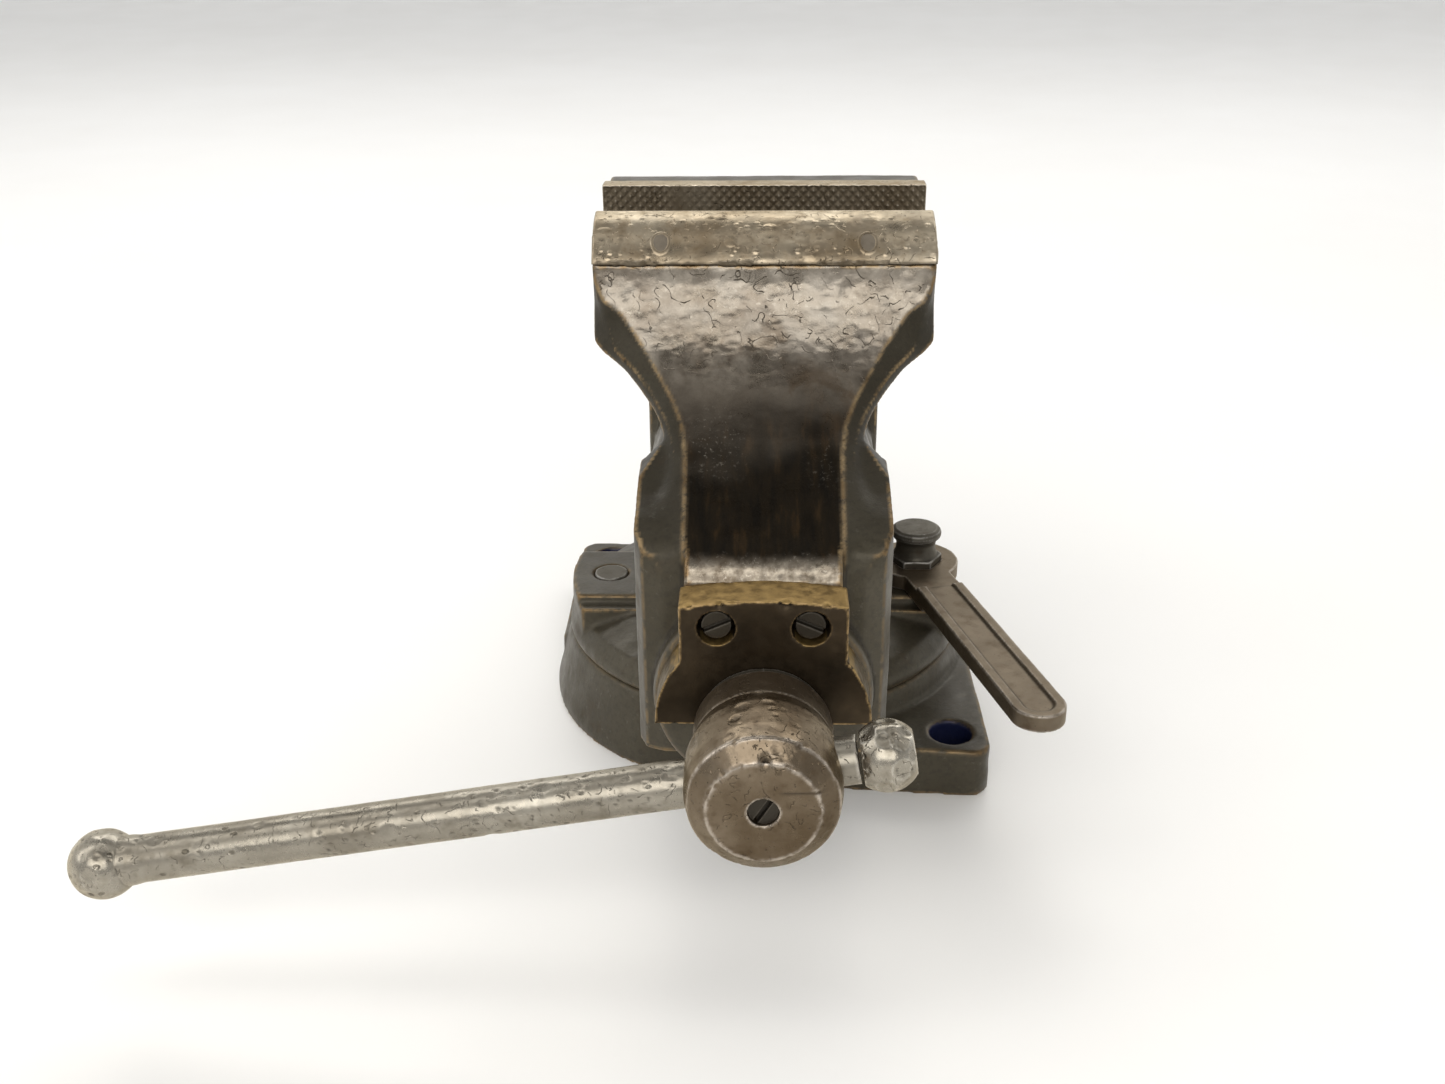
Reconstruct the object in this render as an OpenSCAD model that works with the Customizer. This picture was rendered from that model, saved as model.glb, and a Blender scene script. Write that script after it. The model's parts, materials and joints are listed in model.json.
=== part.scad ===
// Swivel-base bench vise, drawn as the separate pieces it is put together from.
// Units are millimetres. +Z is up, the bench is Z = 0 and the swivel axis is X = Y = 0.
// The screw points towards -Y, and the fixed jaw stands behind it towards +Y.

/* [Jaws] */
// Width of both jaws.
jaw_w = 101.6; // [98:0.1:104]
// Height of the top of the fixed jaw plate above the bench.
jaw_top = 185.5; // [184:0.1:188]
// Position along Y of the gripping face of the fixed jaw.
fixed_face_y = -17.5; // [-19:0.1:-16.5]
// Opening between the two gripping faces in the rest position.
opening = 21; // [16:0.1:24]
// Thickness of the fixed jaw plate.
plate_t = 7.5; // [6:0.1:8]
// Distance between the two pins in a jaw plate.
pin_pitch = 61; // [50:0.5:70]
// Diameter of the jaw plate pins.
pin_d = 4.8; // [3:0.1:6]

/* [Screw] */
// Height of the screw axis above the bench.
axis_z = 68; // [67.5:0.1:68.5]
// Outer diameter of the screw thread.
screw_d = 16; // [12:0.1:16.5]
// Outer diameter of the collar that bears on the thrust plate.
collar_d = 37.4; // [34:0.1:39]
// Largest diameter of the screw head.
head_d = 40.6; // [39:0.1:43]
// Diameter of the flat end of the screw head.
head_end_d = 28.6; // [24:0.1:32]
// Diameter of the handle rod.
rod_d = 12.6; // [10:0.1:12.8]
// Angle of the handle from the horizontal, left end down.
handle_tilt = 9.8; // [0:0.1:30]
// Distance from the screw axis to the middle of the long end's ball.
handle_long = 177.5; // [120:0.5:190]
// Distance from the screw axis to the middle of the short end's ball.
handle_short = 31.5; // [31:0.1:45]

/* [Thrust plate] */
// Width of the upper part of the thrust plate.
thrust_w = 44.6; // [43:0.1:46]
// Thickness of the thrust plate.
thrust_t = 12.7; // [11:0.1:13]
// Height of the top edge of the thrust plate above the screw axis.
thrust_h = 36.9; // [35.5:0.1:38]
// Radius of the round lower part of the thrust plate.
thrust_r = 29.2; // [27:0.1:30]
// Distance between the two screws in the thrust plate.
thrust_pitch = 24.8; // [23:0.1:27]

/* [Swivel base] */
// Radius of the base where it stands on the bench.
base_r = 75.5; // [75:0.1:78]
// Height of the joint between the base and the turntable.
joint_z = 25; // [24.8:0.1:25.5]
// Radius of the joint between the base and the turntable.
joint_r = 70; // [69.5:0.1:71]
// Distance from the swivel axis to each bench bolt hole.
lug_x = 91.4; // [91:0.1:93]
// Diameter of the bench bolt holes.
lug_hole_d = 13.5; // [10:0.1:15]
// Thickness of the lugs.
lug_t = 17; // [14:0.5:18]
// Direction of the front lug, anticlockwise from +X.
lug_angle = -47.4; // [-60:0.1:-40]

/* [Swivel clamps] */
// Distance of each clamp bolt from the middle plane of the vise.
clamp_x = 54.5; // [54:0.1:55]
// Position of the clamp bolts along Y.
clamp_y = -4; // [-5:0.1:-3]
// Length of the clamp lever from the bolt to the middle of its round tip.
lever_l = 105; // [80:0.5:108]
// Width of the clamp lever.
lever_w = 16.6; // [14:0.1:18]
// Direction of the clamp lever, anticlockwise from +X.
lever_angle = -75; // [-78:0.1:-72]

/* [Output] */
// Which piece to draw.

/* [Hidden] */

$fn = 96;
// Running clearance on a radius, and the gap left between sliding faces.
run = 0.05;
// Length that a cutting shape stands out past the face it cuts.
over = 1;

jaw_half = jaw_w / 2;
// The bore of the static body that guides the slide of the moving jaw.
bore_half = 25;
bore_bottom = 48;
bore_top = 98;
slide_half = bore_half - run;
// The barrel is the part of the static body round that bore.
barrel_half = 36.5;
barrel_top = 113;
barrel_front = -70;
barrel_back = 70;
upright_half = 38.6;
plate_seat_y = fixed_face_y + plate_t;
plate_bottom = 161;

moving_face_y = fixed_face_y - opening;
moving_seat_y = moving_face_y - 7.5;
moving_back_y = moving_face_y - 2.5;
moving_front_y = moving_face_y - 19;
seam_z = jaw_top - 15;
moving_top = jaw_top - 3.3;
moving_pin_y = moving_front_y + 4.5;
// Outline in Y and Z of the hooked plate of the moving jaw, rounded towards the front.
hooked_plate = [
    [moving_face_y, 156], [moving_face_y, moving_top - 0.5],
    [moving_face_y - 0.5, moving_top], [moving_face_y - 6, moving_top - 0.9],
    [moving_face_y - 10, moving_top - 2.5], [moving_face_y - 13.5, moving_top - 4.9],
    [moving_face_y - 16.5, moving_top - 8],
    [moving_front_y, seam_z], [moving_seat_y, seam_z], [moving_seat_y, 156]
];

// The nose is the box at the front of the moving jaw that carries the screw.
nose_front_y = -127;
nose_back_y = -94;
nose_half = 35.5;
nose_bottom = 46.5;
pad_half = 21.3;
boss_face_y = -133.3;
boss_r = 30.6;
thrust_front_y = boss_face_y - thrust_t;
// The shoulders reach back over the barrel, just above it.
shoulder_back_y = -87;
shoulder_bottom = barrel_top + 0.6;
shoulder_top = 127;

// The screw, from its head back to its end.
neck_r = 10.9;
washer_front_y = thrust_front_y - 3;
rod_y = -169;
head_end_y = -187;
flange_r = 17.5;
flange_t = 5;
screw_end_y = 126;
end_pin_y = screw_end_y - 6;
detent_r = 3.9;

// The nut stands far enough forward for the screw to stay in it when the jaws are wide open.
nut_front_y = -44;
nut_back_y = 8;
nut_bolt_y = [-35, -1];
nut_bolt_d = 8;

turntable_top = 40;
pad_top = 44;
spigot_r = 60.9;
ledge_z = 17;
// Radius of the corner of a lug, and its distance from the swivel axis.
lug_r = 6.5;
lug_corner = lug_x + 8.4;
shoe_r = 11.2;
shoe_t = 7;
lever_z = pad_top + 0.1;
lever_t = 5.6;
hex_af = 16.4;

IRON = [0.30, 0.29, 0.26];
STEEL = [0.62, 0.60, 0.56];
BRONZE = [0.60, 0.44, 0.24];
DARK = [0.24, 0.24, 0.23];

// Cylinder along Y from y0 to y1, round the screw axis unless moved.
module along_y(r, y0, y1, x = 0, z = axis_z) {
    translate([x, y1, z]) rotate([90, 0, 0]) cylinder(r = r, h = y1 - y0);
}

// Turned shape round the screw axis; the outline is a list of [radius, y].
module turned_y(outline) {
    translate([0, 0, axis_z])
        rotate([-90, 0, 0])
            rotate_extrude()
                polygon(outline);
}

// Box given by its low and high corners.
module block(lo, hi) {
    translate(lo) cube(hi - lo);
}

// Flat outline in X and Z, drawn out along Y from y0 to y1.
module extrude_y(outline, y0, y1) {
    translate([0, y1, 0]) rotate([90, 0, 0]) linear_extrude(height = y1 - y0) polygon(outline);
}

// Flat outline in Y and Z, drawn out along X to both sides by half.
module extrude_x(outline, half) {
    translate([-half, 0, 0])
        rotate([90, 0, 90])
            linear_extrude(height = 2 * half)
                polygon(outline);
}

// Solid through level cross sections. Each section is [z, outline], with as many points in each.
module loft(sections) {
    n = len(sections[0][1]);
    last = len(sections) - 1;
    points = [for (s = sections) for (p = s[1]) [p[0], p[1], s[0]]];
    sides = [
        for (i = [0 : last - 1])
            for (k = [0 : n - 1])
                for (half = [0, 1])
                    half == 0
                        ? [i * n + k, (i + 1) * n + k, i * n + (k + 1) % n]
                        : [i * n + (k + 1) % n, (i + 1) * n + k, (i + 1) * n + (k + 1) % n]
    ];
    bottom = [for (k = [0 : n - 1]) k];
    top = [for (k = [n - 1 : -1 : 0]) last * n + k];
    polyhedron(points = points, faces = concat([bottom], sides, [top]));
}

// ---- Swivel base ----

// One lug in plan: a rounded corner that both sides of the ring run out to.
module lug_plan() {
    turn = acos((base_r - lug_r) / lug_corner);
    inside = [for (i = [6 : -1 : -6]) 69.5 * [cos(turn * i / 6), sin(turn * i / 6)]];
    side = [
        (base_r - 2) * [cos(turn + 3), sin(turn + 3)],
        [lug_corner + lug_r * cos(turn), lug_r * sin(turn)]
    ];
    translate([lug_corner, 0]) circle(r = lug_r);
    polygon([
        [side[0][0], -side[0][1]], [side[1][0], -side[1][1]], side[1], side[0],
        for (p = inside) p
    ]);
}

// Ring that is bolted to the bench, with two opposite lugs and an inner ledge for the clamps.
module swivel_base() {
    wall = [
        [67, 0], [base_r, 0], [base_r, 4], [base_r - 1.6, 9], [joint_r + 1.2, joint_z - 6],
        [joint_r, joint_z - 1.5], [joint_r - 1, joint_z], [spigot_r + run, joint_z],
        [spigot_r + run, ledge_z], [66, ledge_z], [67, ledge_z - 3]
    ];
    color(IRON)
        difference() {
            union() {
                rotate_extrude($fn = 144) polygon(wall);
                for (turn = [0, 180])
                    rotate(lug_angle + turn)
                        linear_extrude(height = lug_t) lug_plan();
            }
            for (turn = [0, 180])
                rotate(lug_angle + turn)
                    translate([lug_x, 0, -over])
                        cylinder(d = lug_hole_d, h = lug_t + 2 * over);
        }
}

// ---- Static body and the pieces fixed to it ----

// Domed disc that turns on the base, with its spigot and the hollow underneath.
module turntable() {
    disc = [
        [46, joint_z - 6], [spigot_r, joint_z - 6], [spigot_r, joint_z], [joint_r - 1, joint_z],
        [joint_r, joint_z + 1.5], [joint_r - 0.5, joint_z + 4.5], [joint_r - 4, joint_z + 9],
        [54, joint_z + 13.5], [40, turntable_top], [0, turntable_top], [0, 37], [44, 37]
    ];
    rotate_extrude($fn = 144) polygon(disc);
    intersection() {
        translate([0, 0, joint_z + 2]) cylinder(r = joint_r - 1.5, h = pad_top - joint_z - 2);
        for (side = [0, 180])
            rotate(side) {
                y = side == 0 ? clamp_y : -clamp_y;
                block([30, y - 18.5, turntable_top - 2], [70, y + 18.5, pad_top]);
                block([30, y - 23, turntable_top - 2], [70, y + 23, turntable_top + 0.6]);
                block([50, y - 23, joint_z + 2], [70, y + 23, turntable_top - 1]);
            }
    }
}

// Upright that carries the fixed jaw, with the anvil behind it.
module upright() {
    front = [
        [-upright_half, 60], [upright_half, 60], [upright_half, 122], [upright_half + 2, 138],
        [jaw_half - 5, 150], [jaw_half, 159], [jaw_half, jaw_top - 2], [-jaw_half, jaw_top - 2],
        [-jaw_half, 159], [-jaw_half + 5, 150], [-upright_half - 2, 138], [-upright_half, 122]
    ];
    side = [
        [-13.5, 60], [-13.5, plate_bottom], [plate_seat_y, plate_bottom],
        [plate_seat_y, jaw_top - 3], [12, jaw_top - 3], [26, jaw_top - 9], [33, 160],
        [40, 143], [70, 139], [74, 136], [74, 124], [66, 110], [60, 60]
    ];
    intersection() {
        extrude_y(front, -30, 90);
        extrude_x(side, 60);
    }
}

// One casting: turntable, slide housing, fixed jaw and anvil.
module static_body() {
    corner = 12;
    housing = [
        [-barrel_half, 30], [barrel_half, 30], [barrel_half, barrel_top - corner],
        [barrel_half - 3.5, barrel_top - 3.5], [barrel_half - corner, barrel_top],
        [-barrel_half + corner, barrel_top], [-barrel_half + 3.5, barrel_top - 3.5],
        [-barrel_half, barrel_top - corner]
    ];
    color(IRON)
        difference() {
            union() {
                turntable();
                intersection() {
                    extrude_y(housing, barrel_front, barrel_back);
                    union() {
                        block([-60, barrel_front, 46], [60, barrel_back, 120]);
                        translate([0, 0, 37]) cylinder(r = 68, h = 12);
                    }
                }
                upright();
            }
            block(
                [-bore_half, barrel_front - over, bore_bottom],
                [bore_half, barrel_back + 10, bore_top]
            );
            for (y = nut_bolt_y)
                translate([0, y, 30]) cylinder(d = nut_bolt_d + 0.6, h = 30);
            for (side = [-1, 1])
                translate([side * clamp_x, clamp_y, 10]) cylinder(r = 6 + run, h = 50);
            for (x = [-pin_pitch / 2, pin_pitch / 2])
                along_y(pin_d / 2, plate_seat_y - over, plate_seat_y + 12, x, 173);
        }
}

// Steel plate on the fixed jaw.
module fixed_jaw_plate() {
    color(STEEL)
        difference() {
            block(
                [-jaw_half, fixed_face_y, plate_bottom],
                [jaw_half, plate_seat_y, jaw_top]
            );
            for (x = [-pin_pitch / 2, pin_pitch / 2])
                along_y(pin_d / 2, fixed_face_y - over, plate_seat_y + over, x, 173);
        }
}

// Two pins that hold the fixed jaw plate.
module fixed_jaw_pins() {
    color(STEEL)
        for (x = [-pin_pitch / 2, pin_pitch / 2])
            along_y(pin_d / 2, fixed_face_y + 0.4, plate_seat_y + 11.5, x, 173);
}

// Bronze nut that stands on the floor of the static body, inside the slide.
module spindle_nut() {
    color(BRONZE)
        difference() {
            union() {
                along_y(13.6, nut_front_y, nut_back_y);
                block([-12, nut_front_y, bore_bottom], [12, nut_back_y, axis_z - 4]);
            }
            along_y(screw_d / 2 + run, nut_front_y - over, nut_back_y + over);
            for (y = nut_bolt_y)
                translate([0, y, bore_bottom - over]) cylinder(d = nut_bolt_d, h = 9);
        }
}

// Two hexagon bolts that hold the nut from below.
module nut_bolts() {
    color(DARK)
        for (y = nut_bolt_y)
            translate([0, y, 0]) {
                translate([0, 0, 31.5]) cylinder(d = 13 / cos(30), h = 5.5, $fn = 6);
                translate([0, 0, 31.5]) cylinder(d = nut_bolt_d, h = 23.5);
            }
}

// Left clamp stud, riveted flush with the top of its pad.
module fixed_clamp_stud() {
    color(DARK)
        translate([-clamp_x, clamp_y, 0]) {
            translate([0, 0, 8]) cylinder(r = 6, h = pad_top - 8);
            translate([0, 0, 4]) cylinder(r = 8, h = ledge_z - 0.1 - shoe_t - 4);
        }
}

// Thick washer on the left stud that hooks under the ledge of the base.
module fixed_clamp_washer() {
    color(DARK)
        translate([-clamp_x, clamp_y, ledge_z - 0.1 - shoe_t])
            difference() {
                cylinder(r = shoe_r, h = shoe_t);
                translate([0, 0, -over]) cylinder(r = 6, h = shoe_t + 2 * over);
            }
}

// ---- Moving jaw and the pieces fixed to it ----

// Stations up the front of the neck: height, Y of the front, half width between the ridges,
// half width at the outline, and how far behind the front each cheek starts and ends.
neck_stations = [
    [102, -133, 20.8, 34.4, 6.5, 13.5],
    [105.5, -132.2, 21.2, 34.6, 5.3, 12.6],
    [108.5, -130, 21.3, 34.9, 3.4, 10.5],
    [112, -125, 21.4, 35.2, 1.6, 9],
    [116, -117, 21.6, 34.8, 0.6, 8],
    [118.5, -112, 21.8, 31, 0.5, 8],
    [122.7, -104, 22, 28.3, 0.5, 8],
    [127, -97, 22.2, 28.4, 0.5, 8],
    [131.6, -88, 23.4, 31.2, 0.5, 8],
    [136, -80, 26.2, 35.9, 0.5, 8],
    [141, -74, 30, 41.4, 0.5, 8],
    [147, -68, 34.4, 50.2, 0.5, 8],
    [153, -64, 39, jaw_half, 0.5, 8],
    [157, -61.6, 42.4, jaw_half, 0.5, 7],
    [160, -60, 47.2, jaw_half, 0.4, 6],
    [166, -58, 49.8, jaw_half, 0.3, 3],
    [seam_z, moving_front_y, 50, jaw_half, 0.3, 1.6]
];

// Number of cross sections from one station to the next.
neck_steps = 3;

// Station of that number, or the nearest one past either end.
function station(i) = neck_stations[max(0, min(len(neck_stations) - 1, i))];

// Smooth curve through four values in a row, at share t of the way from the second to the third.
function through(a, b, c, d, t) =
    0.5 * (2 * b + t * (c - a) + t * t * (2 * a - 5 * b + 4 * c - d)
    + t * t * t * (3 * b - a - 3 * c + d));

// All cross sections of the neck, from the bottom up.
neck_curve = [
    for (i = [0 : len(neck_stations) - 2])
        for (k = [0 : neck_steps - 1])
            through(station(i - 1), station(i), station(i + 1), station(i + 2), k / neck_steps),
    station(len(neck_stations))
];

// How far back the neck reaches at a height: behind the nose, the shoulders and the jaw.
function neck_back(z) =
    z <= shoulder_bottom ? nose_back_y : z <= shoulder_top ? shoulder_back_y : moving_back_y;

// Cross section at one station, back to the given Y and no wider than the jaw.
function neck_outline(s, back) =
    let (ridge = s[2], edge = min(s[3], jaw_half), bend = ridge + 0.6 * (edge - ridge))
    let (side = [[edge, s[1] + s[5]], [bend, s[1] + s[4] + 0.3 * (s[5] - s[4])], [ridge + 0.3, s[1] + s[4]]])
        [
            [-edge, back], for (p = side) [-p[0], p[1]], [-ridge, s[1]],
            [ridge, s[1]], for (i = [2 : -1 : 0]) side[i], [edge, back]
        ];

// Box round the screw at the front of the moving jaw.
module nose() {
    side = [
        [nose_front_y, nose_bottom], [nose_front_y, 104.5], [-125.8, 108.5], [-122.6, 112], [-116.2, 115.4],
        [-108, 117.6], [-98, 120], [shoulder_back_y, 121.4], [shoulder_back_y, shoulder_bottom],
        [nose_back_y, shoulder_bottom], [nose_back_y, nose_bottom]
    ];
    plan = [
        [-nose_half, shoulder_back_y], [-nose_half, nose_front_y + 7.5],
        [-nose_half + 2.2, nose_front_y + 2.2], [-nose_half + 7.5, nose_front_y],
        [nose_half - 7.5, nose_front_y], [nose_half - 2.2, nose_front_y + 2.2],
        [nose_half, nose_front_y + 7.5], [nose_half, shoulder_back_y]
    ];
    // Shoulders that rise from the roof of the box to the waist of the neck.
    shoulders = [
        [-35.2, shoulder_bottom + 2], [-35.2, 120.8], [-33.1, 123.1], [-28.3, 128],
        [28.3, 128], [33.1, 123.1], [35.2, 120.8], [35.2, shoulder_bottom + 2]
    ];
    rise = [[-114, shoulder_bottom], [shoulder_back_y, 129], [shoulder_back_y, shoulder_bottom]];
    intersection() {
        extrude_x(side, 50);
        translate([0, 0, 40]) linear_extrude(height = 100) polygon(plan);
    }
    intersection() {
        extrude_y(shoulders, -116, shoulder_back_y - 0.5);
        extrude_x(rise, 50);
    }
    intersection() {
        turned_y([
            [0, nose_front_y + 4], [boss_r, nose_front_y + 4], [boss_r, nose_front_y - 3.6],
            [boss_r - 0.8, nose_front_y - 5.4], [boss_r - 2.8, boss_face_y], [0, boss_face_y]
        ]);
        block([-40, -150, nose_bottom], [40, -100, 120]);
    }
    block([-pad_half, boss_face_y, 84], [pad_half, nose_front_y + 2, 104]);
}

// One casting: nose, slide, neck and jaw.
module moving_jaw() {
    chamfer = 2;
    slide = [
        [-slide_half, bore_bottom + run], [slide_half, bore_bottom + run],
        [slide_half, bore_top - run - chamfer], [slide_half - chamfer, bore_top - run],
        [-slide_half + chamfer, bore_top - run], [-slide_half, bore_top - run - chamfer]
    ];
    color(IRON)
        difference() {
            union() {
                nose();
                loft([for (s = neck_curve) [s[0], neck_outline(s, neck_back(s[0]))]]);
                block([-22, shoulder_back_y - 2, shoulder_bottom + 1], [22, moving_back_y - 1, 130]);
                extrude_y(slide, -110, 95);
            }
            // Step that seats the hooked jaw plate.
            block([-60, moving_seat_y, 156], [60, moving_back_y + over, 190]);
            // Channel along the slide for the screw and the nut.
            along_y(17, -118, 96);
            block([-17, -118, 40], [17, 96, axis_z]);
            // Room inside the nose.
            block([-27, -119, 40], [27, -99, 84]);
            // Screw bore, and the pocket for the flange behind the thrust plate.
            along_y(neck_r + 0.1, boss_face_y - over, -117);
            along_y(flange_r + 0.2, boss_face_y - over, boss_face_y + flange_t + 0.2);
            for (x = [-thrust_pitch / 2, thrust_pitch / 2])
                along_y(3, boss_face_y - over, boss_face_y + 14, x, axis_z + 29);
            for (x = [-pin_pitch / 2, pin_pitch / 2])
                translate([x, moving_pin_y, seam_z - 10])
                    cylinder(d = pin_d, h = 20);
        }
}

// Hooked steel plate over the whole top of the moving jaw, rounded towards the front.
module moving_jaw_plate() {
    color(STEEL)
        difference() {
            extrude_x(hooked_plate, jaw_half);
            for (x = [-pin_pitch / 2, pin_pitch / 2])
                translate([x, moving_pin_y, seam_z - over]) cylinder(d = pin_d, h = 20);
        }
}

// Everything above the round front of the moving jaw plate.
module dressed_off() {
    extrude_x([
        for (k = [2 : 7]) hooked_plate[k], [moving_front_y - 5, seam_z],
        [moving_front_y - 5, jaw_top + 20], [moving_face_y, jaw_top + 20]
    ], 60);
}

// Two upright pins, dressed flush with the round front of the moving jaw plate.
module moving_jaw_pins() {
    color(STEEL)
        for (x = [-pin_pitch / 2, pin_pitch / 2])
            difference() {
                translate([x, moving_pin_y, seam_z - 9.5]) cylinder(d = pin_d, h = 20);
                dressed_off();
            }
}

// Bronze plate that drops over the neck of the screw and keeps it in the nose.
module thrust_plate() {
    rise = 1.9;
    half = thrust_w / 2;
    // Radius of an arch that rises by that much over the whole width.
    arch_r = (half * half + rise * rise) / (2 * rise);
    color(BRONZE)
        difference() {
            union() {
                intersection() {
                    block(
                        [-half, thrust_front_y, axis_z + 4],
                        [half, boss_face_y, axis_z + thrust_h + over]
                    );
                    along_y(arch_r, -160, -120, 0, axis_z + thrust_h - arch_r);
                }
                difference() {
                    along_y(thrust_r, thrust_front_y, boss_face_y);
                    block([-40, -160, 20], [40, -120, axis_z]);
                    block([-40, -160, axis_z + thrust_r - 4], [40, -120, 120]);
                }
            }
            along_y(neck_r + run, -160, -120);
            for (x = [-thrust_pitch / 2, thrust_pitch / 2]) {
                along_y(3.2, -160, -120, x, axis_z + 29);
                along_y(5, thrust_front_y - over, thrust_front_y + 6, x, axis_z + 29);
            }
        }
}

// Two slotted screws sunk into the thrust plate.
module thrust_plate_screws() {
    color(DARK)
        for (side = [-1, 1])
            translate([side * thrust_pitch / 2, 0, axis_z + 29])
                difference() {
                    union() {
                        along_y(4, thrust_front_y + 2, thrust_front_y + 6, 0, 0);
                        along_y(3, thrust_front_y + 6, boss_face_y + 13, 0, 0);
                    }
                    rotate([0, side * 24, 0])
                        block([-5, thrust_front_y + 1, -0.6], [5, thrust_front_y + 3.4, 0.6]);
                }
}

// ---- Screw ----

// Screw with its head in one piece; the thread is drawn as a plain rod of its outer diameter.
module spindle() {
    collar_r = collar_d / 2;
    head_r = head_d / 2;
    outline = [
        [0, head_end_y], [head_end_d / 2, head_end_y], [head_r - 1, head_end_y + 4],
        [head_r - 0.2, head_end_y + 9], [head_r, rod_y - 1.5], [head_r - 0.1, rod_y + 2.5],
        [collar_r + 0.3, rod_y + 7.8], [collar_r - 0.4, rod_y + 8.4], [collar_r, rod_y + 9],
        [collar_r, washer_front_y - 1], [collar_r - 1, washer_front_y],
        [neck_r, washer_front_y], [neck_r, boss_face_y + 0.15],
        [flange_r, boss_face_y + 0.15], [flange_r, boss_face_y + flange_t],
        [neck_r, boss_face_y + flange_t], [neck_r, -116], [screw_d / 2, -112],
        [screw_d / 2, screw_end_y - 1.5], [screw_d / 2 - 1.5, screw_end_y], [0, screw_end_y]
    ];
    color(STEEL)
        difference() {
            turned_y(outline);
            in_handle(rod_d / 2 + run, -40, 40);
            along_y(detent_r, head_end_y - over, rod_y);
            translate([0, end_pin_y, axis_z - 12]) cylinder(r = 2, h = 24);
        }
}

// Cylinder along the handle direction, between two distances from the screw axis.
module in_handle(r, from, to) {
    translate([0, rod_y, axis_z])
        rotate([0, 90 - handle_tilt, 0])
            translate([0, 0, from])
                cylinder(r = r, h = to - from);
}

// Hard washer between the collar and the thrust plate.
module thrust_washer() {
    color(DARK)
        difference() {
            along_y(17.5, washer_front_y + run, thrust_front_y - run);
            along_y(neck_r + run, washer_front_y - over, thrust_front_y + over);
        }
}

// Slotted set screw in the end of the head.
module detent_screw() {
    color(STEEL)
        difference() {
            along_y(detent_r, head_end_y + 1, head_end_y + 5.6);
            translate([0, 0, axis_z])
                rotate([0, -58, 0])
                    block([-5, head_end_y, -0.65], [5, head_end_y + 2.6, 0.65]);
        }
}

// Conical disc spring behind the set screw.
module detent_spring() {
    back = head_end_y + 5.6;
    color(STEEL)
        turned_y([[1.2, back + 1.2], [1.2, back + 1.9], [3.7, back + 0.7], [3.7, back]]);
}

// Brass plug that the spring presses on the handle.
module detent_plug() {
    tip = rod_y - rod_d / 2 - run;
    color(BRONZE)
        along_y(detent_r - run, head_end_y + 7.5, tip - 0.02);
}

// Stop washer at the back end of the screw.
module end_washer() {
    color(STEEL)
        difference() {
            along_y(13, end_pin_y - 5.5, end_pin_y - 2);
            along_y(screw_d / 2, end_pin_y - 10, end_pin_y);
        }
}

// Cross pin behind the stop washer.
module end_pin() {
    color(STEEL)
        translate([0, end_pin_y, axis_z - 11.5]) cylinder(r = 2, h = 23);
}

// ---- Handle ----

long_ball_r = 9.3;
short_ball_r = 9.3;
tenon_r = 4.2;

// Rod with the forged ball of its long end, and a tenon for the other ball.
module handle_rod() {
    color(STEEL) {
        in_handle(rod_d / 2, -handle_long, handle_short - 6);
        in_handle(tenon_r, -handle_long, handle_short + 2);
        translate([0, rod_y, axis_z])
            rotate([0, 90 - handle_tilt, 0])
                translate([0, 0, -handle_long])
                    sphere(r = long_ball_r);
    }
}

// Ball riveted on the short end, with its end dressed flat.
module handle_ball() {
    color(STEEL)
        difference() {
            translate([0, rod_y, axis_z])
                rotate([0, 90 - handle_tilt, 0])
                    translate([0, 0, handle_short])
                        intersection() {
                            sphere(r = short_ball_r);
                            translate([0, 0, -6]) cylinder(r = 12, h = 13.5);
                        }
            in_handle(tenon_r, handle_short - 12, handle_short + 2);
        }
}

// ---- Swivel clamp ----

// Right clamp bolt with a mushroom head over a hexagon.
module clamp_bolt() {
    head = [
        [0, 51.5], [8.1, 51.5], [7.3, 53], [6.9, 55], [7, 57], [7.7, 58.4], [8.7, 59.3],
        [8.9, 60.4], [8.5, 61.6], [7.2, 62.3], [0, 62.5]
    ];
    color(DARK)
        translate([clamp_x, clamp_y, 0]) {
            translate([0, 0, 4]) cylinder(r = 6, h = pad_top - 4);
            translate([0, 0, pad_top]) cylinder(d = hex_af / cos(30), h = 8, $fn = 6);
            rotate_extrude() polygon(head);
        }
}

// Outline of the lever arm in plan, pointing along +X.
module lever_plan(half, start) {
    translate([start, -half]) square([lever_l - start, 2 * half]);
    translate([lever_l, 0]) circle(r = half);
}

// Lever with a hexagon hole; its arm steps up behind the ring and has a sunken panel.
module clamp_lever() {
    ring_r = 15.2;
    step = 1.4;
    panel = 0.9;
    color(DARK)
        translate([clamp_x, clamp_y, lever_z])
            rotate(lever_angle)
                difference() {
                    union() {
                        cylinder(r = ring_r, h = lever_t);
                        translate([0, -lever_w / 2, 0]) cube([30, lever_w, lever_t]);
                        translate([0, 0, step])
                            linear_extrude(height = lever_t)
                                lever_plan(lever_w / 2, 24);
                    }
                    translate([0, 0, -over])
                        rotate(-lever_angle)
                            cylinder(d = (hex_af + 0.1) / cos(30), h = lever_t + 3 * over, $fn = 6);
                    translate([0, 0, step + lever_t - panel])
                        linear_extrude(height = 2 * panel) {
                            lever_plan(lever_w / 2 - 3.4, 26);
                            translate([26, 0]) circle(r = lever_w / 2 - 3.4);
                        }
                }
}

// Threaded shoe that the right bolt draws up under the ledge of the base.
module clamp_shoe() {
    color(DARK)
        translate([clamp_x, clamp_y, ledge_z - 0.15 - shoe_t])
            difference() {
                cylinder(r = shoe_r, h = shoe_t);
                translate([0, 0, -over]) cylinder(r = 6 + run, h = shoe_t + 2 * over);
            }
}

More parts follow.
